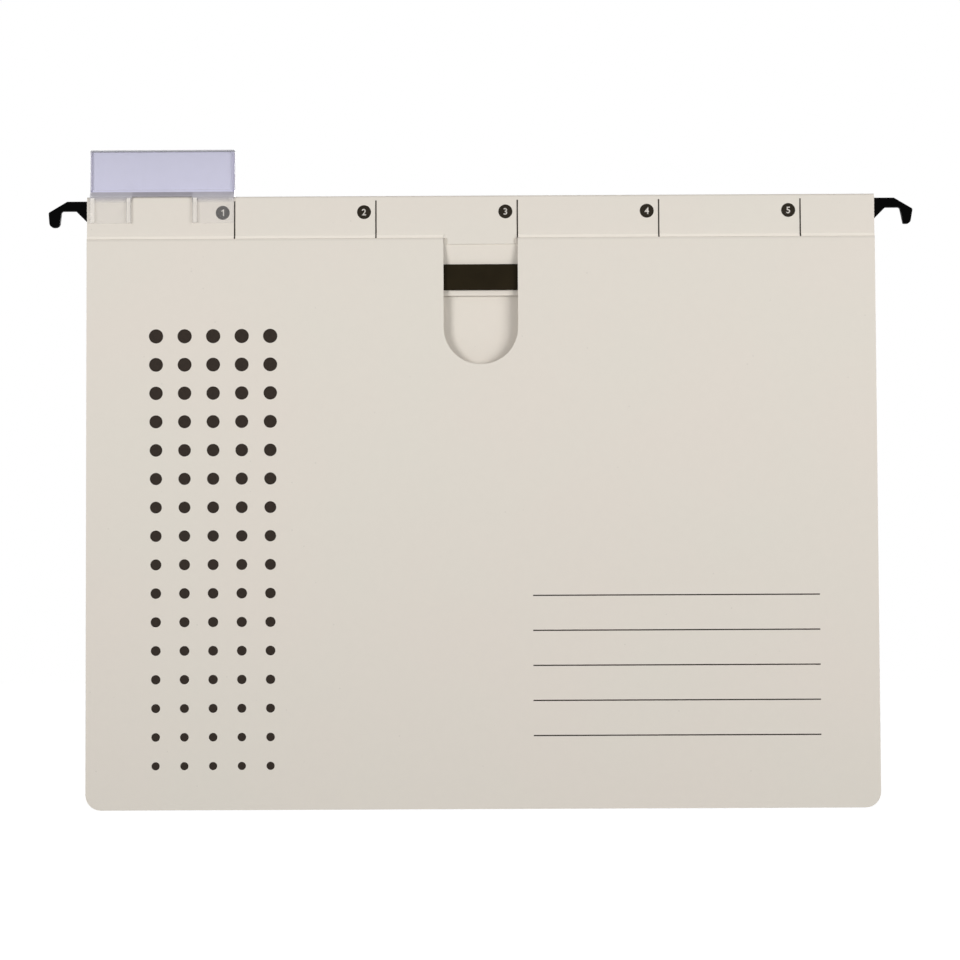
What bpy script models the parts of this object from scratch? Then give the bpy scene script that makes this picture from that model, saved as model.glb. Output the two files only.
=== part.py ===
"""Hanging fastener folder for A4 papers.

Card covers hang from a sleeve that is folded over a steel rail with two plastic hooks.
A prong fastener sits inside, behind the finger notch, and a clear label tab runs on the sleeve.
Metres, +Z up. X runs along the rail, and the front faces -Y.
The origin lies midway between the two hook seats.
"""

import math

import bmesh
import bpy
from mathutils import Vector

MM = 0.001

# Clearances
GAP = 0.3 * MM
HINGE_GAP = 0.3 * MM
SEAT_GAP = 0.3 * MM

# Card
CARD = 0.45 * MM
BODY_WIDTH = 318 * MM
BODY_HEIGHT = 246.8 * MM
BAND_HEIGHT = 17.5 * MM
CORNER_RADIUS = 6.2 * MM
FLARE_HEIGHT = 1.4 * MM
FOLD_RADIUS = 1.1 * MM
INTERIOR_DEPTH = 4.5 * MM

# Finger notch in the front cover
NOTCH_WIDTH = 30 * MM
NOTCH_DEPTH = 51 * MM
LIP_WIDTH = 26.8 * MM
LIP_DROP = 2.3 * MM

# Hooks, measured outwards from the sleeve's end and up from the seat
HOOK_THICKNESS = 2.4 * MM
HOOK_REACH = 15.75 * MM
ARM_HEIGHT = 3.85 * MM
ARM_FLAT = 8.2 * MM
SEAT_START = 4.7 * MM
SEAT_END = 10.5 * MM
SHOULDER_DROP = 0.65 * MM
TIP_DROP = 6.65 * MM
TIP_OUTER = 14.7 * MM
TIP_INNER = 11.9 * MM
TIP_RADIUS = 1.9 * MM
GUSSET_DROP = 4.95 * MM
TANG_LENGTH = 24 * MM
TANG_STEP = 0.9 * MM
TANG_RADIUS = 0.6 * MM
BEND_RADIUS = 1.2 * MM
SHOULDER_RADIUS = 0.8 * MM
TIP_INNER_RADIUS = 0.5 * MM
THROAT_RADIUS = 0.8 * MM
GUSSET_RADIUS = 0.4 * MM
LEFT_TIP_EXTRA = 0.6 * MM
LEFT_TIP_INNER_RADIUS = 1.9 * MM
HOOK_EDGE = 0.25 * MM

# Suspension rail
RAIL_THICKNESS = 0.8 * MM
RAIL_HEIGHT = 7.4 * MM
RAIL_RADIUS = 0.8 * MM
SOCKET_DEPTH = 20 * MM

# Fastener
PRONG_SPACING = 80 * MM
PUNCH_DROP = 15.6 * MM
CARRIER_THICKNESS = 0.5 * MM
CARRIER_DROP = 23 * MM
CARRIER_WIDTH = 132 * MM
CARRIER_STRIP_GAP = 1 * MM
CARRIER_RADIUS = 4 * MM
CARRIER_BEND = 0.5 * MM
CARRIER_FLANGE = 2 * MM
BASE_THICKNESS = 0.3 * MM
BASE_HEIGHT = 8 * MM
BASE_MARGIN = 7 * MM
BASE_RADIUS = 2 * MM
PRONG_THICKNESS = 0.25 * MM
PRONG_WIDTH = 5 * MM
PRONG_LENGTH = 20 * MM
PRONG_HEEL = 0.1 * MM
PRONG_TIP_RADIUS = 2.25 * MM
BAR_LENGTH = 110 * MM
BAR_HEIGHT = 10.5 * MM
BAR_THICKNESS = 0.9 * MM
BAR_FACE = 0.4 * MM
BAR_REBATE = 1.2 * MM
BAR_RADIUS = 2 * MM
BAR_SLOT = 9.4 * MM
SLIDER_LENGTH = 8 * MM
SLIDER_WALL = 0.3 * MM
SLIDER_LIP = 0.2 * MM
SLIDER_PARK = 1.5 * MM

# Label tab
TAB_WIDTH = 58.4 * MM
TAB_INSET = 1.2 * MM
TAB_RISE = 19.45 * MM
TAB_NECK = 2.15 * MM
TAB_LEG_DROP = 10.9 * MM
TAB_LEG_WIDTH = 17 * MM
TAB_WALL = 0.5 * MM
TAB_LEG_WALL = 0.6 * MM
TAB_RIB = 0.5 * MM
TAB_RIB_WIDTH = 2 * MM
TAB_RIB_INSET = 0.2 * MM
TAB_TOP_RADIUS = 0.8 * MM
TAB_FOOT_RADIUS = 0.24 * MM
LABEL_THICKNESS = 0.25 * MM
LABEL_MARGIN = 0.4 * MM

ARC_STEP = math.radians(12)
SMOOTH_ANGLE = math.radians(20)

# Heights of the main lines, up from the hook seats
TANG_HEIGHT = ARM_HEIGHT + TANG_STEP
SLEEVE_TOP = TANG_HEIGHT + GAP + CARD
CREASE_Z = SLEEVE_TOP - BAND_HEIGHT
BOTTOM_Z = SLEEVE_TOP - BODY_HEIGHT
PUNCH_Z = CREASE_Z - PUNCH_DROP
SLEEVE_END = BODY_WIDTH / 2

# Depths, front to back: the sleeve stands clear of the hooks, the fastener is stacked behind the front cover
SLEEVE_INNER = HOOK_THICKNESS / 2 + GAP
SLEEVE_OUTER = SLEEVE_INNER + CARD
STACK = (SLIDER_WALL, PRONG_THICKNESS, BAR_THICKNESS, CARRIER_THICKNESS, BASE_THICKNESS)
STACK_DEPTH = sum(STACK) + (len(STACK) + 1) * GAP
COVER_INNER = max(INTERIOR_DEPTH, STACK_DEPTH, 2 * SLEEVE_INNER) / 2
COVER_OUTER = COVER_INNER + CARD
SLIDER_FRONT = GAP - COVER_INNER
SLIDER_BACK = SLIDER_FRONT + SLIDER_WALL
PRONG_FRONT = SLIDER_BACK + GAP
PRONG_BACK = PRONG_FRONT + PRONG_THICKNESS
BAR_FRONT = PRONG_BACK + GAP
BAR_BACK = BAR_FRONT + BAR_THICKNESS
CARRIER_FRONT = BAR_BACK + GAP
CARRIER_BACK = CARRIER_FRONT + CARRIER_THICKNESS
BASE_FRONT = CARRIER_BACK + GAP
BASE_BACK = BASE_FRONT + BASE_THICKNESS

# Slits and slots that the prongs' stubs pass through
STUB_X = PRONG_SPACING / 2
STUB_SLIT = BASE_THICKNESS + 2 * GAP
STUB_SLIT_HEIGHT = PRONG_WIDTH + 2 * GAP

# Tab on the sleeve
TAB_CENTRE = -SLEEVE_END + TAB_INSET + TAB_WIDTH / 2
TAB_INNER = SLEEVE_OUTER + GAP
TAB_OUTER = TAB_INNER + TAB_LEG_WALL
TAB_TOP = SLEEVE_TOP + TAB_RISE
TAB_FLOOR = SLEEVE_TOP + TAB_NECK
POCKET_HALF = LABEL_THICKNESS / 2 + GAP
POCKET_BOTTOM = TAB_FLOOR + TAB_WALL
POCKET_TOP = TAB_TOP - TAB_WALL


def clear_scene():
    for item in list(bpy.data.objects):
        bpy.data.objects.remove(item, do_unlink=True)


def material(name, colour, roughness, metallic=0.0, alpha=1.0):
    made = bpy.data.materials.new(name)
    made.use_nodes = True
    shader = made.node_tree.nodes["Principled BSDF"]
    shader.inputs["Base Color"].default_value = (*colour, 1.0)
    shader.inputs["Roughness"].default_value = roughness
    shader.inputs["Metallic"].default_value = metallic
    shader.inputs["Alpha"].default_value = alpha
    return made


def rounded(corners):
    """Points of a closed outline from (u, v, radius) corners, each radius an arc."""
    points = []
    for index, (u, v, radius) in enumerate(corners):
        corner = Vector((u, v))
        if radius <= 0:
            points.append(corner)
            continue
        back = Vector(corners[index - 1][:2]) - corner
        ahead = Vector(corners[(index + 1) % len(corners)][:2]) - corner
        half = back.angle(ahead) / 2
        reach = min(radius / math.tan(half), 0.49 * back.length, 0.49 * ahead.length)
        bend = reach * math.tan(half)
        centre = corner + (back.normalized() + ahead.normalized()).normalized() * bend / math.sin(half)
        start = corner + back.normalized() * reach - centre
        turn = start.angle_signed(corner + ahead.normalized() * reach - centre)
        steps = max(1, math.ceil(abs(turn) / ARC_STEP))
        for step in range(steps + 1):
            angle = -turn * step / steps
            spun = Vector((
                start.x * math.cos(angle) - start.y * math.sin(angle),
                start.x * math.sin(angle) + start.y * math.cos(angle),
            ))
            points.append(centre + spun)
    return points


def box_outline(left, right, low, high, radius=0.0):
    return rounded([(left, low, radius), (right, low, radius), (right, high, radius), (left, high, radius)])


def solid(name, loops, place, sweep, origin=(0, 0, 0), look=None):
    """One closed body: the outline loops, the first outside and the rest holes, swept along a vector.

    place turns an outline's (u, v) into a point. The object's own origin is set at origin.
    """
    built = bmesh.new()
    edges = []
    for loop in loops:
        corners = [built.verts.new(place(u, v) - Vector(origin)) for u, v in loop]
        for index, corner in enumerate(corners):
            edges.append(built.edges.new((corners[index - 1], corner)))
    filled = bmesh.ops.triangle_fill(built, edges=edges, use_beauty=True, use_dissolve=True)
    faces = [item for item in filled["geom"] if isinstance(item, bmesh.types.BMFace)]
    swept = bmesh.ops.extrude_face_region(built, geom=faces, use_keep_orig=True)
    moved = [item for item in swept["geom"] if isinstance(item, bmesh.types.BMVert)]
    bmesh.ops.translate(built, verts=moved, vec=Vector(sweep))
    bmesh.ops.recalc_face_normals(built, faces=built.faces)
    mesh = bpy.data.meshes.new(name)
    built.to_mesh(mesh)
    built.free()
    mesh.shade_smooth()
    mesh.set_sharp_from_angle(angle=SMOOTH_ANGLE)
    made = bpy.data.objects.new(name, mesh)
    made.location = origin
    bpy.context.scene.collection.objects.link(made)
    if look:
        mesh.materials.append(look)
    return made


def panel(name, loops, front, back, origin=(0, 0, 0), look=None):
    """A plate whose outline lies in the XZ plane, between two depths."""
    return solid(name, loops, lambda x, z: Vector((x, front, z)), (0, back - front, 0), origin, look)


def moulding(name, loops, left, right, origin=(0, 0, 0), look=None):
    """A length of a profile that lies in the YZ plane."""
    return solid(name, loops, lambda y, z: Vector((left, y, z)), (right - left, 0, 0), origin, look)


def fold(made, lines):
    """Creases a plate along level lines, given as (height, shift in depth) from the bottom up."""
    built = bmesh.new()
    built.from_mesh(made.data)
    base = made.location.z
    for height, _ in lines:
        geometry = built.verts[:] + built.edges[:] + built.faces[:]
        bmesh.ops.bisect_plane(
            built, geom=geometry, dist=1e-7, plane_co=(0, 0, height - base), plane_no=(0, 0, 1)
        )
    for point in built.verts:
        point.co.y += depth_at(point.co.z + base, lines)
    built.to_mesh(made.data)
    built.free()


def depth_at(height, lines):
    if height <= lines[0][0]:
        return lines[0][1]
    for (low, start), (high, end) in zip(lines, lines[1:]):
        if height <= high:
            return start + (end - start) * (height - low) / (high - low)
    return lines[-1][1]


def helper(made):
    made.hide_render = True
    made.display_type = "WIRE"
    return made


def combine(made, other, operation):
    step = made.modifiers.new(f"{operation.lower()} {other.name}", "BOOLEAN")
    step.operation = operation
    step.solver = "EXACT"
    step.object = helper(other)


def soften(made, width):
    step = made.modifiers.new("moulded edges", "BEVEL")
    step.width = width
    step.segments = 2
    step.limit_method = "ANGLE"
    step.angle_limit = math.radians(50)


def rail_sleeve(look):
    """Card folded over the rail. Its walls flare out to the covers, with a lip over the notch."""
    low = CREASE_Z + HINGE_GAP / 2
    flare = low + FLARE_HEIGHT
    outside = [
        (-SLEEVE_OUTER, flare, 0),
        (-SLEEVE_OUTER, SLEEVE_TOP, FOLD_RADIUS),
        (SLEEVE_OUTER, SLEEVE_TOP, FOLD_RADIUS),
        (SLEEVE_OUTER, flare, 0),
        (COVER_OUTER, low, 0),
        (COVER_INNER, low, 0),
        (SLEEVE_INNER, flare, 0),
        (SLEEVE_INNER, SLEEVE_TOP - CARD, FOLD_RADIUS - CARD),
        (-SLEEVE_INNER, SLEEVE_TOP - CARD, FOLD_RADIUS - CARD),
        (-SLEEVE_INNER, flare, 0),
    ]
    made = moulding("rail_sleeve", [rounded(outside)], -SLEEVE_END, SLEEVE_END, look=look)
    joined = flare + FLARE_HEIGHT
    skirt = rounded([
        (-SLEEVE_OUTER, joined, 0),
        (-SLEEVE_INNER, joined, 0),
        (-SLEEVE_INNER, flare, 0),
        (-COVER_INNER, low, 0),
        (-COVER_OUTER, low, 0),
        (-SLEEVE_OUTER, flare, 0),
    ])
    for side in (-1, 1):
        ends = sorted((side * NOTCH_WIDTH / 2, side * SLEEVE_END))
        combine(made, moulding(f"sleeve_skirt_{side}", [skirt], *ends), "UNION")
    root = NOTCH_WIDTH / 2 - GAP
    half = LIP_WIDTH / 2
    lip = rounded([
        (-root, joined, 0),
        (-root, CREASE_Z, 0),
        (-half, CREASE_Z, 0),
        (-half, CREASE_Z - LIP_DROP, 0),
        (half, CREASE_Z - LIP_DROP, 0),
        (half, CREASE_Z, 0),
        (root, CREASE_Z, 0),
        (root, joined, 0),
    ])
    combine(made, panel("sleeve_lip", [lip], -SLEEVE_OUTER, -SLEEVE_INNER), "UNION")
    return made


def cover(name, front, look):
    """A flat card cover that swings at the crease under the sleeve. The front one has the finger notch."""
    top = CREASE_Z - HINGE_GAP / 2
    side = SLEEVE_END
    half = NOTCH_WIDTH / 2
    corners = [
        (-side, top, 0),
        (-side, BOTTOM_Z, CORNER_RADIUS),
        (side, BOTTOM_Z, CORNER_RADIUS),
        (side, top, 0),
    ]
    if front:
        deep = CREASE_Z - NOTCH_DEPTH
        corners += [(half, top, 0), (half, deep, half), (-half, deep, half), (-half, top, 0)]
    facing = -1 if front else 1
    axis = (0, facing * COVER_OUTER, CREASE_Z)
    depths = sorted((facing * COVER_INNER, facing * COVER_OUTER))
    return panel(name, [rounded(corners)], *depths, axis, look)


def hook(name, side, look, inner_radius, extra=0.0):
    """A moulded hook with a tang in the sleeve, which rests on it. extra widens the tip to each side."""
    corners = [
        (-TANG_LENGTH, TANG_HEIGHT, TANG_RADIUS),
        (-HOOK_EDGE, TANG_HEIGHT, 0),
        (-HOOK_EDGE, ARM_HEIGHT, 0),
        (ARM_FLAT, ARM_HEIGHT, BEND_RADIUS),
        (HOOK_REACH, -SHOULDER_DROP, SHOULDER_RADIUS),
        (TIP_OUTER + extra, -TIP_DROP, TIP_RADIUS),
        (TIP_INNER - extra, -TIP_DROP, inner_radius),
        (SEAT_END, 0, THROAT_RADIUS),
        (SEAT_START, 0, GUSSET_RADIUS),
        (-HOOK_EDGE, -GUSSET_DROP, GUSSET_RADIUS),
        (-TANG_LENGTH, -GUSSET_DROP, TANG_RADIUS),
    ]
    outline = [(side * (SLEEVE_END + u), z) for u, z in rounded(corners)]
    made = panel(name, [outline], -HOOK_THICKNESS / 2, HOOK_THICKNESS / 2, look=look)
    soften(made, HOOK_EDGE)
    inner = SLEEVE_END - TANG_LENGTH
    ends = sorted((side * (inner - SEAT_GAP), side * (inner + SOCKET_DEPTH)))
    middle = (TANG_HEIGHT - GUSSET_DROP) / 2
    half = RAIL_HEIGHT / 2 + SEAT_GAP
    socket = box_outline(*ends, middle - half, middle + half)
    deep = RAIL_THICKNESS / 2 + SEAT_GAP
    combine(made, panel(f"{name}_socket", [socket], -deep, deep), "DIFFERENCE")
    return made


def suspension_rail(look):
    end = SLEEVE_END - TANG_LENGTH + SOCKET_DEPTH - SEAT_GAP
    middle = (TANG_HEIGHT - GUSSET_DROP) / 2
    outline = box_outline(-end, end, middle - RAIL_HEIGHT / 2, middle + RAIL_HEIGHT / 2, RAIL_RADIUS)
    return panel("suspension_rail", [outline], -RAIL_THICKNESS / 2, RAIL_THICKNESS / 2, look=look)


def fastener_carrier(look):
    """A card strip glued to both walls of the sleeve under the rail, with an apron for the fastener."""
    strip = SLEEVE_END - TANG_LENGTH - CARRIER_STRIP_GAP
    apron = CARRIER_WIDTH / 2
    top = -GUSSET_DROP - SEAT_GAP
    shoulder = CREASE_Z + HINGE_GAP
    bottom = CREASE_Z - CARRIER_DROP
    outline = rounded([
        (-strip, top, 0),
        (-strip, shoulder, 0),
        (-apron, shoulder, 0),
        (-apron, bottom, CARRIER_RADIUS),
        (apron, bottom, CARRIER_RADIUS),
        (apron, shoulder, 0),
        (strip, shoulder, 0),
        (strip, top, 0),
    ])
    slits = []
    for side in (-1, 1):
        middle = side * STUB_X
        half = STUB_SLIT_HEIGHT / 2
        wide = STUB_SLIT / 2
        slits.append(box_outline(middle - wide, middle + wide, PUNCH_Z - half, PUNCH_Z + half))
    made = panel("fastener_carrier", [outline, *slits], CARRIER_FRONT, CARRIER_BACK, look=look)
    to_front = -SLEEVE_INNER + GAP - CARRIER_FRONT
    to_back = SLEEVE_INNER - GAP - CARRIER_BACK
    fold(made, [
        (PUNCH_Z + BAR_HEIGHT / 2, 0.0),
        (CREASE_Z - LIP_DROP - CARRIER_BEND, to_front),
        (shoulder + CARRIER_FLANGE, to_front),
        (top - CARRIER_FLANGE, to_back),
        (top, to_back),
    ])
    return made


def fastener_base(look):
    """A steel strip behind the carrier with a stub at each punch hole."""
    half = STUB_X + BASE_MARGIN
    outline = box_outline(-half, half, PUNCH_Z - BASE_HEIGHT / 2, PUNCH_Z + BASE_HEIGHT / 2, BASE_RADIUS)
    made = panel("fastener_base", [outline], BASE_FRONT, BASE_BACK, look=look)
    for side in (-1, 1):
        middle = side * STUB_X
        stub = box_outline(
            middle - BASE_THICKNESS / 2,
            middle + BASE_THICKNESS / 2,
            PUNCH_Z - PRONG_WIDTH / 2,
            PUNCH_Z + PRONG_WIDTH / 2,
        )
        sunk = BASE_FRONT + BASE_THICKNESS / 2
        combine(made, panel(f"stub_{side}", [stub], PRONG_BACK + GAP, sunk), "UNION")
    return made


def cover_bar(look):
    """The bar that presses on the papers: a face with a narrower land behind, and a slot for each prong."""
    end = BAR_LENGTH / 2
    half = BAR_HEIGHT / 2
    loops = [box_outline(-end, end, PUNCH_Z - half, PUNCH_Z + half, BAR_RADIUS)]
    slot = STUB_SLIT_HEIGHT / 2
    outer = STUB_X + STUB_SLIT / 2
    for side in (-1, 1):
        ends = sorted((side * outer, side * (outer - BAR_SLOT)))
        loops.append(box_outline(*ends, PUNCH_Z - slot, PUNCH_Z + slot))
    origin = (0, BAR_FRONT, PUNCH_Z)
    made = panel("cover_bar", loops, BAR_FRONT, BAR_BACK, origin, look)
    land = half - BAR_REBATE
    for side in (-1, 1):
        heights = sorted((PUNCH_Z + side * land, PUNCH_Z + side * (half + GAP)))
        rebate = box_outline(-end - GAP, end + GAP, *heights)
        cutter = panel(f"bar_rebate_{side}", [rebate], BAR_FRONT + BAR_FACE, BAR_BACK + GAP)
        combine(made, cutter, "DIFFERENCE")
    return made


def slider(name, side, look):
    """A clip that wraps the bar's face and runs along it, over the folded prong."""
    inside = BAR_HEIGHT / 2 + GAP
    outside = inside + SLIDER_WALL
    lip_front = BAR_FRONT + BAR_FACE + (BAR_BACK - BAR_FRONT - BAR_FACE - SLIDER_LIP) / 2
    lip_back = lip_front + SLIDER_LIP
    lip_end = BAR_HEIGHT / 2 - BAR_REBATE + GAP
    half = [
        (SLIDER_FRONT, outside, SLIDER_WALL),
        (lip_back, outside, 0),
        (lip_back, lip_end, 0),
        (lip_front, lip_end, 0),
        (lip_front, inside, 0),
        (SLIDER_BACK, inside, 0),
    ]
    corners = half + [(y, -z, radius) for y, z, radius in reversed(half)]
    profile = [(y, PUNCH_Z + z) for y, z in rounded(corners)]
    far = BAR_LENGTH / 2 - SLIDER_PARK
    ends = sorted((side * far, side * (far - SLIDER_LENGTH)))
    origin = (sum(ends) / 2, BAR_FRONT, PUNCH_Z)
    return moulding(name, [profile], *ends, origin, look)


def prong(name, side, look):
    """A prong folded inwards over the bar. It bends about the upright line at its stub."""
    half = PRONG_WIDTH / 2
    heel = STUB_X + PRONG_HEEL
    tip = STUB_X - PRONG_LENGTH
    corners = [
        (heel, -half, 0),
        (heel, half, 0),
        (tip, half, PRONG_TIP_RADIUS),
        (tip, -half, PRONG_TIP_RADIUS),
    ]
    outline = [(side * x, PUNCH_Z + z) for x, z in rounded(corners)]
    axis = (side * STUB_X, (PRONG_FRONT + PRONG_BACK) / 2, PUNCH_Z)
    return panel(name, [outline], PRONG_FRONT, PRONG_BACK, axis, look)


def tab_holder(look):
    """A clear holder: a pocket for the label above, and clip legs that straddle the sleeve below."""
    roof = SLEEVE_TOP + GAP
    foot = SLEEVE_TOP - TAB_LEG_DROP
    neck = POCKET_HALF + TAB_WALL
    half = [
        (neck, TAB_TOP, TAB_TOP_RADIUS),
        (neck, TAB_FLOOR, TAB_LEG_WALL),
        (TAB_OUTER, SLEEVE_TOP, TAB_LEG_WALL),
        (TAB_OUTER, foot, TAB_FOOT_RADIUS),
        (TAB_INNER, foot, TAB_FOOT_RADIUS),
        (TAB_INNER, roof, FOLD_RADIUS + GAP),
    ]
    corners = half + [(-y, z, radius) for y, z, radius in reversed(half)]
    pocket = box_outline(-POCKET_HALF, POCKET_HALF, POCKET_BOTTOM, POCKET_TOP)
    left = TAB_CENTRE - TAB_WIDTH / 2
    right = TAB_CENTRE + TAB_WIDTH / 2
    made = moulding(
        "tab_holder", [rounded(corners), pocket], left, right, (TAB_CENTRE, 0, SLEEVE_TOP), look
    )
    between = TAB_WIDTH / 2 - TAB_LEG_WIDTH
    window = box_outline(TAB_CENTRE - between, TAB_CENTRE + between, foot - TAB_LEG_WALL, SLEEVE_TOP)
    spill = TAB_OUTER + TAB_RIB
    combine(made, panel("tab_leg_gap", [window], -spill, spill), "DIFFERENCE")
    half_rib = TAB_RIB_WIDTH / 2
    inset = half_rib + TAB_RIB_INSET
    crown = -TAB_OUTER - TAB_RIB
    sunk = -TAB_OUTER + TAB_LEG_WALL / 2
    low = foot + TAB_FOOT_RADIUS
    high = SLEEVE_TOP - TAB_LEG_WALL
    for side in (-1, 1):
        for number, offset in enumerate((between + inset, TAB_WIDTH / 2 - inset)):
            near = TAB_CENTRE + side * offset - half_rib
            far = near + TAB_RIB_WIDTH
            section = [(near, sunk, 0), (far, sunk, 0), (far, crown, TAB_RIB), (near, crown, TAB_RIB)]
            rib = solid(
                f"tab_rib_{side}_{number}",
                [rounded(section)],
                lambda x, y: Vector((x, y, low)),
                (0, 0, high - low),
            )
            combine(made, rib, "UNION")
    return made


def tab_label(look):
    outline = box_outline(
        TAB_CENTRE - TAB_WIDTH / 2 + LABEL_MARGIN,
        TAB_CENTRE + TAB_WIDTH / 2 - LABEL_MARGIN,
        POCKET_BOTTOM + GAP,
        POCKET_TOP - GAP,
    )
    half = LABEL_THICKNESS / 2
    return panel("tab_label", [outline], -half, half, (TAB_CENTRE, 0, POCKET_BOTTOM), look)


def build():
    clear_scene()
    card = material("off-white card", (0.73, 0.69, 0.62), 0.85)
    board = material("carrier board", (0.72, 0.68, 0.6), 0.9)
    black = material("black plastic", (0.01, 0.01, 0.01), 0.4)
    bar = material("black lacquered bar", (0.018, 0.014, 0.01), 0.35)
    steel = material("zinc-plated steel", (0.6, 0.61, 0.62), 0.35, 1.0)
    clear = material("clear plastic", (0.75, 0.76, 0.82), 0.15, 0.0, 0.4)
    paper = material("pale lilac paper", (0.62, 0.61, 0.72), 0.9)
    rail_sleeve(card)
    cover("front_cover", True, card)
    cover("back_cover", False, card)
    suspension_rail(steel)
    fastener_carrier(board)
    fastener_base(steel)
    cover_bar(bar)
    hook("hook_left", -1, black, LEFT_TIP_INNER_RADIUS, LEFT_TIP_EXTRA)
    hook("hook_right", 1, black, TIP_INNER_RADIUS)
    for word, side in (("left", -1), ("right", 1)):
        prong(f"prong_{word}", side, steel)
        slider(f"slider_{word}", side, steel)
    tab_holder(clear)
    tab_label(paper)


build()
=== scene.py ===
"""Looks for the hanging fastener folder: card, print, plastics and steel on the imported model.

Metres, +Z up. X runs along the rail, the front faces -Y, and the hooks rest at z = 0.
"""

import math

import bmesh
import bpy
from mathutils import Matrix, Vector


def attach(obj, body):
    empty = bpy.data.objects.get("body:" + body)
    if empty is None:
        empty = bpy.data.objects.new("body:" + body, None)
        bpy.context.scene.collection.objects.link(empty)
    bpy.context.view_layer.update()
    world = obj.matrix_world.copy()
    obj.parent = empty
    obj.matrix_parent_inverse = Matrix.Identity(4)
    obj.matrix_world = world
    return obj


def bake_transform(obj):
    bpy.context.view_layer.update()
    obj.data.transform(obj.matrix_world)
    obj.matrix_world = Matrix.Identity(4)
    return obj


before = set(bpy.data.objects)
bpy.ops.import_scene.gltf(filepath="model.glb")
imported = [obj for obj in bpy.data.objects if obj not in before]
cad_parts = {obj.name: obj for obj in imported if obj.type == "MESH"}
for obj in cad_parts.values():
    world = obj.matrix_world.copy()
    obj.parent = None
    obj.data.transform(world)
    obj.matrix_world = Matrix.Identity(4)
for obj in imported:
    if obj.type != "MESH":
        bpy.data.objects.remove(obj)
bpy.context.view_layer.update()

MM = 0.001

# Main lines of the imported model
SLEEVE_TOP = 5.5 * MM
SLEEVE_END = 159 * MM
SLEEVE_OUTER = 1.95 * MM
CREASE_Z = -12 * MM
HINGE_GAP = 0.3 * MM
FLARE_LOW = CREASE_Z + HINGE_GAP / 2
FLARE_HEIGHT = 1.4 * MM
COVER_INNER = 2.25 * MM
COVER_OUTER = 2.7 * MM
NOTCH_HALF = 15 * MM
LIP_DROP = 2.3 * MM
CARRIER_TOP_FACE = 1.2 * MM

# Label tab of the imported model
TAB_LEFT = -157.8 * MM
TAB_RIGHT = -99.4 * MM
TAB_CENTRE = (TAB_LEFT + TAB_RIGHT) / 2
TAB_HALF = (TAB_RIGHT - TAB_LEFT) / 2
TAB_GAP_HALF = 12.2 * MM
TAB_OUTER = 2.85 * MM
TAB_RIB = 0.5 * MM
TAB_FLOOR = 7.65 * MM
TAB_TOP = 24.95 * MM
TAB_FACE = 0.925 * MM
LABEL_FOOT = 0.8 * MM

# Print on the card
INK = 0.03 * MM
DOT_COLUMNS = 5
DOT_ROWS = 16
DOT_PITCH = 11.5 * MM
DOT_LEFT = -130.9 * MM
DOT_TOP = CREASE_Z - 39.2 * MM
DOT_FIRST = 5.75 * MM
DOT_LAST = 3.25 * MM
DOT_SIDES = 40
RULE_COUNT = 5
RULE_PITCH = 14 * MM
RULE_LEFT = 20.4 * MM
RULE_RIGHT = 135.4 * MM
RULE_TOP = CREASE_Z - 144.1 * MM
RULE_HEIGHT = 0.5 * MM
MARK_COUNT = 5
MARK_PITCH = 57.1 * MM
MARK_FIRST = -99.3 * MM
MARK_WIDTH = 0.57 * MM
MARK_START = 1.95 * MM
DISC_OFFSET = 4.8 * MM
DISC_DROP = 6.65 * MM
DISC_SIZE = 5.65 * MM
DISC_SIDES = 48
DIGIT_HEIGHT = 2.7 * MM
DIGIT_WEIGHT = 0.016

# Card and plastic trim. SINK is how far a piece of trim reaches into its neighbour.
SINK = 0.05 * MM
GROOVE_DEPTH = 0.32 * MM
GROOVE_LIFT = 0.03 * MM
CREASE_ROWS = 10
CREASE_COLUMNS = 24
LIP_BOND_HALF = 14.9 * MM
LIP_BOND_FACE = 1.43 * MM
LIP_BOND_INSET = 0.1 * MM
CORNER_REACH = 1.3 * MM
RIM_WIDTH = 0.8 * MM
RIM_HEIGHT = 0.12 * MM
RIM_DROP = 0.3 * MM

# Textures. Noise mostly keeps between these two values. EDGE and SOFT_EDGE blur a zone's border.
NOISE_LOW = 0.3
NOISE_HIGH = 0.7
EDGE = 0.1 * MM
SOFT_EDGE = 0.3 * MM
STREAK = (1, 1, 0.3)

# Card: colours, and shares of them
CARD = (0.745, 0.695, 0.625)
CARD_CORE = (0.80, 0.765, 0.70)
BOARD = (0.775, 0.715, 0.64)
BOARD_CORE = (0.80, 0.755, 0.68)
WARM = (1.012, 0.994, 0.994)
COOL = (0.99, 1.006, 0.998)
DRIFT_SHARE = 0.5
FIBRE_SHARE = 0.25
FIBRE_TONE = 0.94
FIBRE_RELIEF = 0.5
FLECK_CELLS = 420
FLECK_SHARE = 0.3
FLECK_TONE = 0.7
# The crease's groove is drawn in darker card: painted shade in the groove.
GROOVE_SHADE_TONE = 0.87

# Bands beside the folds: painted shade below the crease on the covers, a painted highlight above
# it on the sleeve. Lowest point, highest point, share of the card's colour
CREASE_SHADE_HEIGHT = 0.75 * MM
FRONT_CREASE_SHADE = (CREASE_Z - CREASE_SHADE_HEIGHT, CREASE_Z, 0.93)
BACK_CREASE_SHADE = (CREASE_Z - CREASE_SHADE_HEIGHT, CREASE_Z, 0.85)
SLEEVE_CREASE_HIGHLIGHT = (CREASE_Z, FLARE_LOW + FLARE_HEIGHT, 1.19)

# Ink, black plastic, steel and label paper
PRINT_INK = (0.030, 0.022, 0.017)
DISC_INK = (0.020, 0.0155, 0.010)
BARE = (0.66, 0.62, 0.57)
HOOK_BLACK = (0.0012, 0.0012, 0.0012)
BAR_BLACK = (0.0155, 0.011, 0.0045)
RAIL_STEEL = (0.38, 0.385, 0.39)
FASTENER_STEEL = (0.40, 0.40, 0.395)
ROLLED_TONE = 0.8
LABEL = (0.575, 0.57, 0.715)
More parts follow.
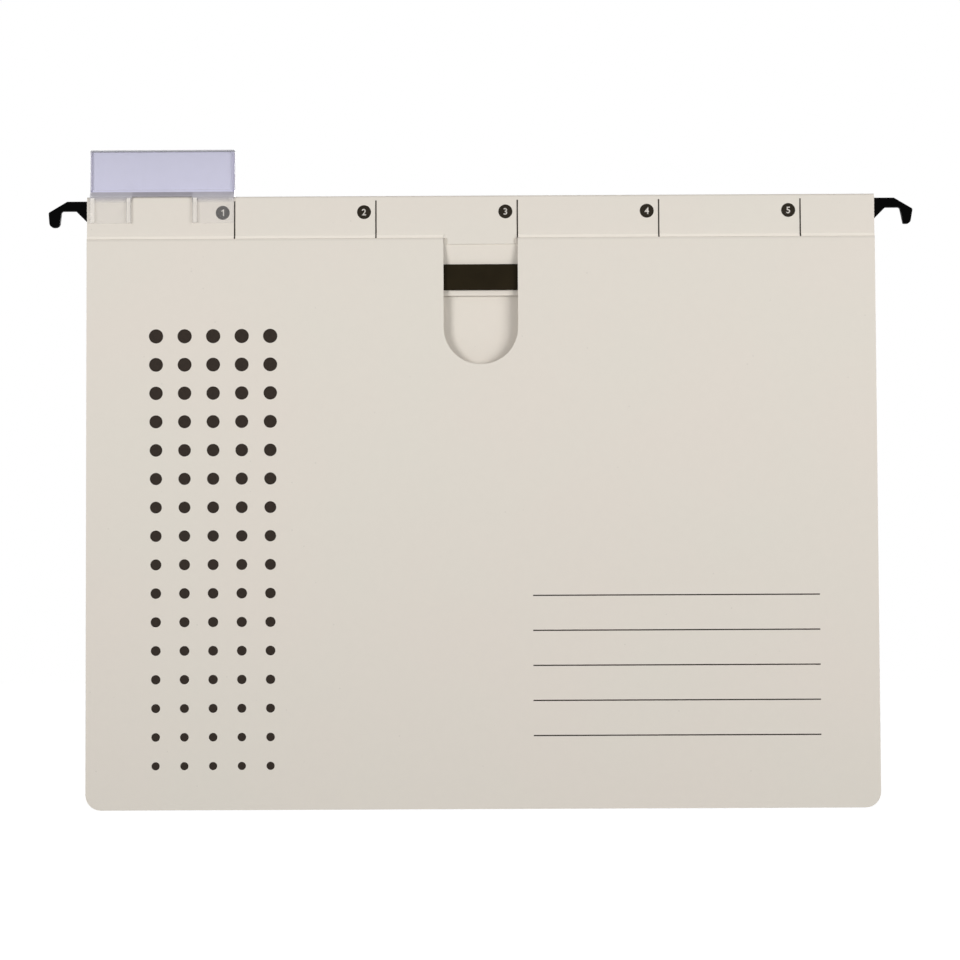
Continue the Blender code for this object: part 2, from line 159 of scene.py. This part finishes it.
# Painted light at the label's foot and painted shade at its top, as shares of its colour.
LABEL_FOOT_PAINTED_LIGHT = 1.04
LABEL_TOP_PAINTED_SHADE = 0.94

# Clear plastic: the zones' limits, their colours, and how much of what lies behind they cover
OUTER_RIB = 2.5 * MM
LEG_FADE = 1 * MM
NECK_FADE_LOW = SLEEVE_TOP - 2.6 * MM
NECK_FADE_HIGH = SLEEVE_TOP + 0.8 * MM
CROWN_LOW = TAB_OUTER + 0.7 * TAB_RIB
CROWN_HIGH = TAB_OUTER + 0.9 * TAB_RIB
OUTER_SIDE_SHADE_SHARE = 0.25
RIGHT_CROWN_HIGHLIGHT_SHARE = 0.2
CLEAR_DEEP = (0.91, 0.89, 0.89)
CLEAR_PALE = (0.98, 0.96, 0.96)
LEG_TINT = (0.88, 0.88, 0.885)
# The neck's colours: dense plastic, darkened further by painted shade that is deepest between the
# legs.
NECK_OVER_LEG_SHADED = (0.44, 0.42, 0.475)
NECK_BETWEEN_SHADED = (0.34, 0.322, 0.365)
# A painted highlight for the ribs' crowns and painted shade for their sides.
RIB_CROWN_HIGHLIGHT = (0.97, 0.93, 0.88)
RIB_SIDE_SHADE = (0.30, 0.29, 0.28)
FOOT_TONE = 1.13
WINDOW_COVER = 0.05
LEG_COVER = 0.08
NECK_OVER_LEG_COVER = 0.62
NECK_BETWEEN_COVER = 0.70
RIB_SIDE_SHADE_COVER = 0.3
RIB_CROWN_HIGHLIGHT_COVER = 0.36
FOOT_COVER = 0.75

# The window's rim
RIM_SIDE_COLOUR = (0.42, 0.40, 0.53)
RIM_TOP_COLOUR = (0.27, 0.27, 0.31)
RIM_PALE_COLOUR = (0.6, 0.6, 0.66)
RIM_TOP_LOW = TAB_TOP - 1.3 * MM
RIM_TOP_HIGH = TAB_TOP - 1 * MM

# Stage and light. A glow of 1 is white.
FLOOR_REACH = 6.0
FLOOR_LEVEL = -0.50
FLOOR_GREY = (0.5, 0.5, 0.5, 1)
FLOOR_GLOW = 0.85
WHITE = (1, 1, 1, 1)
FRONT_GLOW = 0.285
BACK_GLOW = 0.4
SIDE_AIM = (0, 0, 0.04)
BACK_AIM = (0, 0, -0.11)
SIDE_BEAM = math.radians(120)
LAMPS = (  # name, place, point aimed at, width and height, watts, spread
    ("side_left", (-0.55, -0.75, -0.01), SIDE_AIM, (0.3, 0.3), 1.61, SIDE_BEAM),
    ("side_right", (0.69, -0.74, -0.01), SIDE_AIM, (0.54, 0.3), 2.34, SIDE_BEAM),
    ("back", (0.3, 1.2, 0.4), BACK_AIM, (0.8, 0.6), 12.0, math.pi),
)

# Camera
CAMERA_DISTANCE = 0.9
CAMERA_TILT = math.radians(2.2215)
CAMERA_TURN = math.radians(-0.1639)
CAMERA_ROLL = math.radians(-0.2628)
CAMERA_AIM = (-0.649 * MM, 0, -109.608 * MM)
SENSOR_WIDTH = 36
LENS = 83.751


# Material tools

def begin(name):
    """A new material, its node tree and its shader."""
    made = bpy.data.materials.new(name)
    made.use_nodes = True
    return made, made.node_tree, made.node_tree.nodes["Principled BSDF"]


def is_socket(value):
    return isinstance(value, bpy.types.NodeSocket)


def feed(tree, node, inputs):
    """Fill a node's inputs. A socket is linked, any other value is set."""
    for key, value in inputs.items():
        if is_socket(value):
            tree.links.new(value, node.inputs[key])
        else:
            node.inputs[key].default_value = value


def add(tree, kind, inputs=None, **settings):
    """A new node with its settings and inputs."""
    made = tree.nodes.new(kind)
    for key, value in settings.items():
        setattr(made, key, value)
    feed(tree, made, inputs or {})
    return made


def place(tree, stretch=(1, 1, 1)):
    """The point on the piece, scaled along each axis."""
    coords = add(tree, "ShaderNodeTexCoord")
    inputs = {"Vector": coords.outputs["Object"], "Scale": stretch}
    return add(tree, "ShaderNodeMapping", inputs).outputs["Vector"]


def axes(tree, space):
    """The X, Y and Z of a kind of coordinate."""
    coords = add(tree, "ShaderNodeTexCoord")
    return add(tree, "ShaderNodeSeparateXYZ", {"Vector": coords.outputs[space]}).outputs


def noise(tree, scale, detail, roughness, stretch=(1, 1, 1), swirl=0.0):
    """Noise of scale cells to the metre."""
    made = add(tree, "ShaderNodeTexNoise", {
        "Vector": place(tree, stretch),
        "Scale": scale,
        "Detail": detail,
        "Roughness": roughness,
        "Distortion": swirl,
    })
    return made.outputs["Fac"]


def ramp(tree, factor, low=0.0, high=1.0, start=0.0, end=1.0):
    """Goes from start to end while the factor goes from low to high."""
    made = add(tree, "ShaderNodeMapRange", {
        "Value": factor, "From Min": low, "From Max": high, "To Min": start, "To Max": end,
    })
    return made.outputs["Result"]


def vary(tree, factor, start=0.0, end=1.0):
    """Goes from start to end over the range where noise mostly lies."""
    return ramp(tree, factor, NOISE_LOW, NOISE_HIGH, start, end)


def above(tree, value, edge, blur=EDGE):
    """1 above an edge and 0 below it."""
    return ramp(tree, value, edge - blur, edge + blur)


def below(tree, value, edge, blur=EDGE):
    """1 below an edge and 0 above it."""
    return ramp(tree, value, edge - blur, edge + blur, 1.0, 0.0)


def maths(tree, operation, first, *others):
    """An operation on one value, or carried along a row of values."""
    for other in others or (0.0,):
        inputs = {0: first, 1: other}
        first = add(tree, "ShaderNodeMath", inputs, operation=operation).outputs[0]
    return first


def mix(tree, factor, first, second, blend="MIX"):
    """A mix of two colours. The node's inputs 0, 6 and 7 and its output 2 are those for colour."""
    first, second = (
        value if is_socket(value) else (*value, 1.0) for value in (first, second)
    )
    inputs = {0: factor, 6: first, 7: second}
    return add(tree, "ShaderNodeMix", inputs, data_type="RGBA", blend_type=blend).outputs[2]


def scaled(colour, share):
    return tuple(part * share for part in colour)


def tinted(colour, tint):
    return tuple(part * share for part, share in zip(colour, tint))


def shades(tree, factor, colour, dark, light):
    """A colour between two shares of itself."""
    return mix(tree, factor, scaled(colour, dark), scaled(colour, light))


def bump(tree, height, distance, strength, under=None):
    """A relief of the given depth, laid over another one if there is one."""
    inputs = {"Height": height, "Distance": distance, "Strength": strength}
    if under is not None:
        inputs["Normal"] = under
    return add(tree, "ShaderNodeBump", inputs).outputs["Normal"]


def seen(tree):
    """1 for a ray from the eye, also after clear plastic or a reflection."""
    path = add(tree, "ShaderNodeLightPath").outputs
    kinds = ("Is Camera Ray", "Is Transmission Ray", "Is Glossy Ray")
    return maths(tree, "MAXIMUM", *(path[kind] for kind in kinds))


# Materials

def card_face(tree, colour, mottle, fibre):
    """The face of the board: mottle, a slow drift of colour, fibres and a few flecks."""
    cloud = noise(tree, scale=14, detail=2, roughness=0.5)
    slow = ramp(tree, cloud, low=0.35, high=0.65)
    drift = mix(tree, slow, tinted(colour, WARM), tinted(colour, COOL))
    face = shades(tree, vary(tree, mottle), colour, dark=0.985, light=1.012)
    face = mix(tree, DRIFT_SHARE, face, drift)
    fibres = maths(tree, "MULTIPLY", fibre, FIBRE_SHARE)
    face = mix(tree, fibres, face, scaled(colour, FIBRE_TONE))
    cells = add(tree, "ShaderNodeTexVoronoi", {"Vector": place(tree), "Scale": FLECK_CELLS})
    spot = ramp(tree, cells.outputs["Distance"], low=0.10, high=0.16, start=1.0, end=0.0)
    chance = add(tree, "ShaderNodeSeparateColor", {"Color": cells.outputs["Color"]})
    chosen = ramp(tree, chance.outputs["Red"], low=0.975, high=0.985)
    flecks = maths(tree, "MULTIPLY", spot, chosen, FLECK_SHARE)
    return mix(tree, flecks, face, scaled(colour, FLECK_TONE))


def score_line(tree, low, high):
    """The band beside a crease, between two heights, where painted shade or a painted highlight
    lies. On the front it leaves out the notch.
    """
    point = axes(tree, "Object")
    rise = above(tree, point["Z"], low)
    fall = ramp(tree, point["Z"], high - SOFT_EDGE, high + EDGE, 1.0, 0.0)
    across = maths(tree, "ABSOLUTE", point["X"])
    aside = ramp(tree, across, NOTCH_HALF, NOTCH_HALF + SOFT_EDGE)
    behind = maths(tree, "GREATER_THAN", point["Y"], 0.0)
    return maths(tree, "MULTIPLY", rise, fall, maths(tree, "MAXIMUM", aside, behind))


def card_material(name, colour, core, crease_light=None):
    """Uncoated board, with its core in layers at the cut edges.

    The last argument gives the lowest and highest point of a band of painted shade or painted
    highlight beside the crease, and its share of the colour.
    """
    made, tree, shader = begin(name)
    mottle = noise(tree, scale=260, detail=4, roughness=0.6)
    threads = noise(tree, scale=520, detail=2, roughness=0.5, swirl=3.5)
    fibre = ramp(tree, threads, low=0.6, high=0.78)
    face = card_face(tree, colour, mottle, fibre)
    # Painted shade or a painted highlight beside the crease.
    if crease_light:
        low, high, share = crease_light
        face = mix(tree, score_line(tree, low, high), face, scaled(colour, share))
    layers = noise(tree, scale=3000, detail=2, roughness=0.6, stretch=(0.2, 1, 0.2))
    cut = shades(tree, layers, core, dark=0.9, light=1.0)
    facing = maths(tree, "ABSOLUTE", axes(tree, "Normal")["Y"])
    flat = ramp(tree, facing, low=0.25, high=0.45)
    swell = noise(tree, scale=7, detail=1, roughness=0.4)
    waves = bump(tree, swell, distance=0.6 * MM, strength=0.25)
    grit = noise(tree, scale=1500, detail=3, roughness=0.6)
    grain = maths(tree, "ADD", maths(tree, "MULTIPLY", fibre, FIBRE_RELIEF), grit)
    feed(tree, shader, {
        "Base Color": mix(tree, flat, cut, face),
        "Roughness": ramp(tree, mottle, low=0.2, high=0.8, start=0.72, end=0.86),
        "Specular IOR Level": 0.3,
        "Normal": bump(tree, grain, distance=0.01 * MM, strength=0.4, under=waves),
    })
    return made


def ink_material(name, colour):
    """Printing ink, slightly broken by the board under it."""
    made, tree, shader = begin(name)
    mottle = noise(tree, scale=700, detail=3, roughness=0.6)
    broken = ramp(tree, mottle, low=0.35, high=0.75)
    grit = noise(tree, scale=1500, detail=3, roughness=0.6)
    feed(tree, shader, {
        "Base Color": shades(tree, broken, colour, dark=0.9, light=1.25),
        "Roughness": vary(tree, mottle, start=0.5, end=0.7),
        "Specular IOR Level": 0.08,
        "Normal": bump(tree, grit, distance=0.02 * MM, strength=0.4),
    })
    return made


def plastic_material(name, colour, rough, shine):
    """Moulded plastic with a fine eroded texture."""
    made, tree, shader = begin(name)
    fine = noise(tree, scale=2600, detail=3, roughness=0.6)
    broad = noise(tree, scale=90, detail=3, roughness=0.5)
    feed(tree, shader, {
        "Base Color": shades(tree, vary(tree, broad), colour, dark=0.85, light=1.15),
        "Roughness": vary(tree, broad, start=rough - 0.05, end=rough + 0.06),
        "Specular IOR Level": shine,
        "Normal": bump(tree, fine, distance=0.02 * MM, strength=0.5),
    })
    return made


def steel_material(name, colour, stretch):
    """Zinc-plated strip, rolled along its length."""
    made, tree, shader = begin(name)
    lines = noise(tree, scale=2400, detail=3, roughness=0.6, stretch=stretch)
    spangle = noise(tree, scale=420, detail=2, roughness=0.5)
    tone = shades(tree, vary(tree, spangle), colour, dark=0.94, light=1.05)
    rolled = ramp(tree, lines, low=0.35, high=0.7, end=0.5)
    feed(tree, shader, {
        "Base Color": mix(tree, rolled, tone, scaled(colour, ROLLED_TONE)),
        "Roughness": ramp(tree, lines, low=0.25, high=0.75, start=0.58, end=0.72),
        "Metallic": 1.0,
        "Normal": bump(tree, lines, distance=0.01 * MM, strength=0.35),
    })
    return made


def clear_material(name):
    """Clear moulded plastic: faint over the window and legs, and dense in the solid neck, which
    also carries painted shade that is deepest between the legs.

    The ribs' sides carry painted shade and their crowns a painted highlight. The outer ribs show
    less than the inner two.
    The pocket's foot, under the label, takes the label's colour.
    """
    made, tree, shader = begin(name)
    point = axes(tree, "Object")
    height = point["Z"]
    aside = maths(tree, "ABSOLUTE", maths(tree, "SUBTRACT", point["X"], TAB_CENTRE))
    between = below(tree, aside, TAB_GAP_HALF, SOFT_EDGE)
    outer = above(tree, aside, TAB_HALF - OUTER_RIB)
    right = maths(tree, "GREATER_THAN", point["X"], TAB_CENTRE)
    under = below(tree, height, TAB_FLOOR)
    foot = maths(tree, "SUBTRACT", below(tree, height, TAB_FLOOR + LABEL_FOOT), under)
    fade = ramp(tree, height, NECK_FADE_LOW, NECK_FADE_HIGH)
    neck = maths(tree, "MULTIPLY", under, fade)
    legs = ramp(tree, height, SLEEVE_TOP - LEG_FADE, SLEEVE_TOP, 1.0, 0.0)

    # Painted shade on the ribs' sides, and below it a painted highlight on their crowns.
    tilt = ramp(tree, maths(tree, "ABSOLUTE", axes(tree, "Normal")["X"]), low=0.1, high=0.7)
    weaker = ramp(tree, outer, start=1.0, end=OUTER_SIDE_SHADE_SHARE)
    side = maths(tree, "MULTIPLY", tilt, legs, weaker)
    proud = ramp(tree, point["Y"], -CROWN_HIGH, -CROWN_LOW, 1.0, 0.0)
    last = maths(tree, "MULTIPLY", outer, right)
    crown_highlight = maths(
        tree, "MULTIPLY", proud, legs, ramp(tree, last, start=1.0, end=RIGHT_CROWN_HIGHLIGHT_SHARE),
    )

    streak = noise(tree, scale=60, detail=2, roughness=0.5, stretch=STREAK)
    tone = mix(tree, vary(tree, streak), CLEAR_DEEP, CLEAR_PALE)
    tone = mix(tree, legs, tone, LEG_TINT, "MULTIPLY")
    tone = mix(tree, neck, tone, mix(tree, between, NECK_OVER_LEG_SHADED, NECK_BETWEEN_SHADED))
    tone = mix(tree, crown_highlight, tone, RIB_CROWN_HIGHLIGHT)
    tone = mix(tree, side, tone, RIB_SIDE_SHADE)
    tone = mix(tree, foot, tone, scaled(LABEL, FOOT_TONE))

    thick = ramp(tree, between, start=NECK_OVER_LEG_COVER, end=NECK_BETWEEN_COVER)
    zones = ((neck, thick), (side, RIB_SIDE_SHADE_COVER), (crown_highlight, RIB_CROWN_HIGHLIGHT_COVER), (foot, FOOT_COVER))
    cover = maths(
        tree, "ADD",
        ramp(tree, under, start=WINDOW_COVER, end=LEG_COVER),
        *(maths(tree, "MULTIPLY", zone, share) for zone, share in zones),
    )
    feed(tree, shader, {
        "Base Color": tone,
        "Alpha": cover,
        "Roughness": vary(tree, streak, start=0.08, end=0.18),
        "IOR": 1.5,
        "Specular IOR Level": 0.25,
        "Normal": bump(tree, streak, distance=0.03 * MM, strength=0.3),
    })
    return made


def rim_material(name):
    """The window's border, where the plastic is seen edge on."""
    made, tree, shader = begin(name)
    streak = noise(tree, scale=90, detail=2, roughness=0.5, stretch=STREAK)
    top = ramp(tree, axes(tree, "Object")["Z"], RIM_TOP_LOW, RIM_TOP_HIGH)
    edge = mix(tree, top, RIM_SIDE_COLOUR, RIM_TOP_COLOUR)
    feed(tree, shader, {
        "Base Color": mix(tree, vary(tree, streak, end=0.12), edge, RIM_PALE_COLOUR),
        "Alpha": vary(tree, streak, start=0.40, end=0.48),
        "Roughness": vary(tree, streak, start=0.10, end=0.20),
        "Specular IOR Level": 0.25,
    })
    return made


def paper_material(name, colour):
    """Label paper with painted light at its foot and painted shade towards its top."""
    made, tree, shader = begin(name)
    mottle = noise(tree, scale=350, detail=4, roughness=0.6)
    # The paper with painted light at the foot, and with painted shade at the top.
    pale, deep = (
        shades(tree, vary(tree, mottle), scaled(colour, tone), dark=0.97, light=1.02)
        for tone in (LABEL_FOOT_PAINTED_LIGHT, LABEL_TOP_PAINTED_SHADE)
    )
    rise = ramp(tree, axes(tree, "Object")["Z"], TAB_FLOOR, TAB_TOP)
    grit = noise(tree, scale=1800, detail=3, roughness=0.6)
    feed(tree, shader, {
        "Base Color": mix(tree, rise, pale, deep),
        "Roughness": vary(tree, mottle, start=0.7, end=0.85),
        "Specular IOR Level": 0.3,
        "Normal": bump(tree, grit, distance=0.015 * MM, strength=0.4),
    })
    return made


cover_card = card_material("cover_card", CARD, CARD_CORE, FRONT_CREASE_SHADE)
sleeve_card = card_material("sleeve_card", CARD, CARD_CORE, SLEEVE_CREASE_HIGHLIGHT)
shaded_groove_card = card_material("shaded_groove_card", scaled(CARD, GROOVE_SHADE_TONE), scaled(CARD, GROOVE_SHADE_TONE))
carrier_board = card_material("carrier_board", BOARD, BOARD_CORE)
back_card = card_material("back_card", BOARD, CARD_CORE, BACK_CREASE_SHADE)
print_ink = ink_material("ink", PRINT_INK)
disc_ink = ink_material("disc_ink", DISC_INK)
bare_card = ink_material("bare_card_in_print", BARE)
black_plastic = plastic_material("black_plastic", HOOK_BLACK, rough=0.45, shine=0.012)
bar_plastic = plastic_material("bar_plastic", BAR_BLACK, rough=0.45, shine=0.05)
rail_steel = steel_material("rail_steel", RAIL_STEEL, stretch=(0.05, 1, 1))
fastener_steel = steel_material("fastener_steel", FASTENER_STEEL, stretch=(0.06, 1, 1))
clear_plastic = clear_material("clear_plastic")
rim_plastic = rim_material("rim_plastic")
label_paper = paper_material("label_paper", LABEL)

LOOKS = {
    "rail_sleeve": sleeve_card,
    "front_cover": cover_card,
    "back_cover": back_card,
    "fastener_carrier": carrier_board,
    "hook_left": black_plastic,
    "hook_right": black_plastic,
    "suspension_rail": rail_steel,
    "fastener_base": fastener_steel,
    "prong_left": fastener_steel,
    "prong_right": fastener_steel,
    "slider_left": fastener_steel,
    "slider_right": fastener_steel,
    "cover_bar": bar_plastic,
    "tab_holder": clear_plastic,
    "tab_label": label_paper,
}
for node_name, look in LOOKS.items():
    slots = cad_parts[node_name].data.materials
    slots.clear()
    slots.append(look)


# Mesh tools

def placed(name, data):
    """A new object in the scene."""
    made = bpy.data.objects.new(name, data)
    bpy.context.scene.collection.objects.link(made)
    return made


def formed(name, built, look):
    """A new object from a built mesh."""
    mesh = bpy.data.meshes.new(name)
    built.to_mesh(mesh)
    built.free()
    mesh.materials.append(look)
    return placed(name, mesh)


def piece(name, built, look, body):
    """A piece of the folder, attached to its body when one is given."""
    bmesh.ops.recalc_face_normals(built, faces=built.faces)
    made = formed(name, built, look)
    if body:
        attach(made, body)
    return made


def slab(built, outline, back, front):
    """A flat plate with an outline of (x, z) points, from one depth to another."""
    near = [built.verts.new((x, front, z)) for x, z in outline]
    far = [built.verts.new((x, back, z)) for x, z in outline]
    built.faces.new(near)
    built.faces.new(list(reversed(far)))
    for k in range(len(outline)):
        built.faces.new((near[k - 1], near[k], far[k], far[k - 1]))


def disc(built, x, z, size, face, sides):
    """A flat disc of ink on a face that looks to the front."""
    radius = size / 2
    turns = [math.tau * k / sides for k in range(sides)]
    ring = [(x + radius * math.cos(turn), z + radius * math.sin(turn)) for turn in turns]
    slab(built, ring, face, face - INK)


def ribbon(built, path, left, right):
    """A thin strip of ink along a path of (y, z) points on the front."""
    rows = []
    for y, z in path:
        corners = ((left, y, z), (right, y, z), (right, y - INK, z), (left, y - INK, z))
        rows.append([built.verts.new(corner) for corner in corners])
    built.faces.new(rows[0])
    built.faces.new(list(reversed(rows[-1])))
    for upper, lower in zip(rows, rows[1:]):
        for k in range(len(upper)):
            built.faces.new((upper[k - 1], upper[k], lower[k], lower[k - 1]))


# Print

dots = bmesh.new()
for row in range(DOT_ROWS):
    size = DOT_FIRST + (DOT_LAST - DOT_FIRST) * row / (DOT_ROWS - 1)
    for column in range(DOT_COLUMNS):
        x = DOT_LEFT + column * DOT_PITCH
        z = DOT_TOP - row * DOT_PITCH
        disc(dots, x, z, size, -COVER_OUTER, DOT_SIDES)
piece("dot_grid", dots, print_ink, "front_cover")

rules = bmesh.new()
for row in range(RULE_COUNT):
    middle = RULE_TOP - row * RULE_PITCH
    ends = (middle + RULE_HEIGHT / 2, middle - RULE_HEIGHT / 2)
    ribbon(rules, [(-COVER_OUTER, z) for z in ends], RULE_LEFT, RULE_RIGHT)
piece("writing_lines", rules, print_ink, "front_cover")

marks = bmesh.new()
discs = bmesh.new()
mark_path = (
    (-SLEEVE_OUTER, SLEEVE_TOP - MARK_START),
    (-SLEEVE_OUTER, FLARE_LOW + FLARE_HEIGHT),
    (-COVER_OUTER, FLARE_LOW),
)
mark_places = [MARK_FIRST + index * MARK_PITCH for index in range(MARK_COUNT)]
disc_z = SLEEVE_TOP - DISC_DROP
for x in mark_places:
    ribbon(marks, mark_path, x - MARK_WIDTH / 2, x + MARK_WIDTH / 2)
    disc(discs, x - DISC_OFFSET, disc_z, DISC_SIZE, -SLEEVE_OUTER, DISC_SIDES)
piece("position_marks", marks, print_ink, "suspension")
piece("number_discs", discs, disc_ink, "suspension")


def drawn_figure(text):
    """A figure's outline as a mesh of faces, from the built-in typeface."""
    curve = bpy.data.curves.new(f"figure_{text}", "FONT")
    curve.body = text
    curve.offset = DIGIT_WEIGHT
    drawn = placed(f"figure_{text}", curve)
    bpy.context.view_layer.update()
    evaluated = drawn.evaluated_get(bpy.context.evaluated_depsgraph_get())
    mesh = bpy.data.meshes.new_from_object(evaluated)
    bpy.data.objects.remove(drawn)
    built = bmesh.new()
    built.from_mesh(mesh)
    bpy.data.meshes.remove(mesh)
    return built


def upright_one():
    """The figure 1 with a slanted flag, in parts of its height."""
    stem_left, stem_right = 0.30, 0.47
    flag_left, flag_right = 0.06, 0.34
    outline = (
        (stem_right, 0), (stem_right, 1), (flag_right, 1),
        (flag_left, 0.83), (flag_left, 0.66), (stem_left, 0.79), (stem_left, 0),
    )
    built = bmesh.new()
    built.faces.new([built.verts.new((u, v, 0)) for u, v in outline])
    return built


def digit(text, x, z):
    """A printed figure left clear in its disc."""
    built = upright_one() if text == "1" else drawn_figure(text)
    across = [v.co.x for v in built.verts]
    up = [v.co.y for v in built.verts]
    share = DIGIT_HEIGHT / (max(up) - min(up))
    middle = Vector(((max(across) + min(across)) / 2, (max(up) + min(up)) / 2))
    front = -SLEEVE_OUTER - 2 * INK
    for v in built.verts:
        v.co = (x + (v.co.x - middle.x) * share, front, z + (v.co.y - middle.y) * share)
    grown = bmesh.ops.extrude_face_region(built, geom=built.faces[:])
    moved = [item for item in grown["geom"] if isinstance(item, bmesh.types.BMVert)]
    bmesh.ops.translate(built, verts=moved, vec=(0, INK, 0))
    piece(f"number_{text}", built, bare_card, "suspension")


for number, x in enumerate(mark_places, 1):
    digit(str(number), x - DISC_OFFSET, disc_z)


# Trim

def crease(name, left, right, facing):
    """The scored line that joins the sleeve to a cover. Its darker card is painted shade in the
    groove.

    It is set a little below the face, and rides on no body.
    """
    built = bmesh.new()
    top = CREASE_Z + HINGE_GAP / 2 + SINK
    bottom = CREASE_Z - HINGE_GAP / 2 - SINK
    outer = facing * (COVER_OUTER - GROOVE_DEPTH)
    inner = facing * (COVER_INNER + GROOVE_LIFT)
    rings = []
    for row in range(CREASE_ROWS + 1):
        z = top + (bottom - top) * row / CREASE_ROWS
        line = []
        for column in range(CREASE_COLUMNS + 1):
            x = left + (right - left) * column / CREASE_COLUMNS
            line.append([built.verts.new((x, y, z)) for y in (outer, inner)])
        rings.append(line)
    for upper, lower in zip(rings, rings[1:]):
        for k in range(CREASE_COLUMNS):
            for side in (0, 1):
                high, low = (
                    (line[k][side], line[k + 1][side]) for line in (upper, lower)
                )
                built.faces.new((*high, *reversed(low)))
        for end in (0, CREASE_COLUMNS):
            built.faces.new((*upper[end], *reversed(lower[end])))
    for line in (rings[0], rings[-1]):
        for k in range(CREASE_COLUMNS):
            built.faces.new((line[k][0], line[k + 1][0], line[k + 1][1], line[k][1]))
    made = piece(name, built, shaded_groove_card, None)
    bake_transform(made)


crease("crease_front_left", -SLEEVE_END, -NOTCH_HALF, -1)
crease("crease_front_right", NOTCH_HALF, SLEEVE_END, -1)
crease("crease_back", -SLEEVE_END, SLEEVE_END, 1)


def lip_bond():
    """The layer that bonds the sleeve's lip to the carrier behind it. It is wider than the lip."""
    left, right = -LIP_BOND_HALF, LIP_BOND_HALF
    low = CREASE_Z - LIP_DROP + LIP_BOND_INSET
    high = CREASE_Z + HINGE_GAP
    outline = ((left, low), (right, low), (right, high), (left, high))
    built = bmesh.new()
    slab(built, outline, -CARRIER_TOP_FACE, -LIP_BOND_FACE)
    piece("lip_bond", built, carrier_board, "suspension")


def notch_corner(name, side):
    """The card at the notch's top corner, where the flare of the sleeve runs out into the lip."""
    low = FLARE_LOW
    high = FLARE_LOW + FLARE_HEIGHT
    start = side * (NOTCH_HALF + SINK)
    end = side * (NOTCH_HALF - CORNER_REACH)
    back = -SLEEVE_OUTER + SINK
    points = (
        (start, back, high), (start, back, low), (start, -COVER_OUTER, low),
        (end, back, high), (end, back, low),
    )
    built = bmesh.new()
    near_high, near_low, near_front, end_high, end_low = map(built.verts.new, points)
    for corners in (
        (near_high, near_low, near_front),
        (near_high, end_high, end_low, near_low),
        (near_low, end_low, near_front),
        (near_high, near_front, end_high),
        (near_front, end_low, end_high),
    ):
        built.faces.new(corners)
    piece(name, built, sleeve_card, "suspension")


lip_bond()
notch_corner("notch_corner_left", -1)
notch_corner("notch_corner_right", 1)


def window_rim(name, facing):
    """The raised border along the two sides and the top of the tab's window."""
    left, right = TAB_LEFT, TAB_RIGHT
    foot, top = TAB_FLOOR, TAB_TOP - RIM_DROP
    outer = [(left, foot), (left, top), (right, top), (right, foot)]
    inner_left, inner_right = left + RIM_WIDTH, right - RIM_WIDTH
    inner_top = top - RIM_WIDTH
    inner = [
        (inner_right, foot), (inner_right, inner_top),
        (inner_left, inner_top), (inner_left, foot),
    ]
    built = bmesh.new()
    slab(built, outer + inner, facing * TAB_FACE, facing * (TAB_FACE + RIM_HEIGHT))
    piece(name, built, rim_plastic, "tab")


window_rim("tab_rim_front", -1)
window_rim("tab_rim_back", 1)


# Stage, light and camera

def stage():
    """A pale floor well below the folder, with a glow that only eye rays see."""
    look, tree, shader = begin("pale_floor")
    feed(tree, shader, {
        "Base Color": FLOOR_GREY,
        "Roughness": 1.0,
        "Specular IOR Level": 0.0,
        "Emission Color": WHITE,
        "Emission Strength": maths(tree, "MULTIPLY", seen(tree), FLOOR_GLOW),
    })
    built = bmesh.new()
    corners = ((-1, -1), (1, -1), (1, 1), (-1, 1))
    built.faces.new([
        built.verts.new((x * FLOOR_REACH, y * FLOOR_REACH, FLOOR_LEVEL)) for x, y in corners
    ])
    floor = formed("floor", built, look)


def sky():
    """White for every eye ray, and an even studio glow that is dimmer on the front side."""
    world = bpy.data.worlds.new("studio")
    bpy.context.scene.world = world
    world.use_nodes = True
    tree = world.node_tree
    ahead = axes(tree, "Generated")["Y"]
    glow = ramp(tree, ahead, low=-0.1, high=0.25, start=FRONT_GLOW, end=BACK_GLOW)
    feed(tree, tree.nodes["Background"], {
        "Color": WHITE,
        "Strength": maths(tree, "MAXIMUM", seen(tree), glow),
    })


def lamp(name, where, aim, size, power, spread):
    """A rectangular lamp that isn't seen itself."""
    data = bpy.data.lights.new(name, "AREA")
    data.shape = "RECTANGLE"
    data.size, data.size_y = size
    data.energy = power
    data.spread = spread
    made = placed(name, data)
    made.location = where
    made.rotation_mode = "QUATERNION"
    made.rotation_quaternion = (Vector(aim) - Vector(where)).to_track_quat("-Z", "Y")
    made.visible_camera = False


def camera():
    """At the photograph's viewing angle, fitted to the card's edges, the dots and the lines."""
    level = math.cos(CAMERA_TILT)
    ahead = Vector((
        math.sin(CAMERA_TURN) * level, math.cos(CAMERA_TURN) * level, math.sin(CAMERA_TILT),
    ))
    right = Vector((math.cos(CAMERA_TURN), -math.sin(CAMERA_TURN), 0))
    up = right.cross(ahead)
    share, lean = math.cos(CAMERA_ROLL), math.sin(CAMERA_ROLL)
    right, up = right * share + up * lean, up * share - right * lean
    data = bpy.data.cameras.new("camera")
    data.sensor_fit = "AUTO"
    data.sensor_width = SENSOR_WIDTH
    data.lens = LENS
    made = placed("camera", data)
    turned = Matrix((right, up, -ahead)).transposed().to_4x4()
    eye = Vector(CAMERA_AIM) - ahead * CAMERA_DISTANCE
    made.matrix_world = Matrix.Translation(eye) @ turned
    bpy.context.scene.camera = made


stage()
sky()
for values in LAMPS:
    lamp(*values)
camera()
bpy.context.scene.view_settings.view_transform = "Standard"
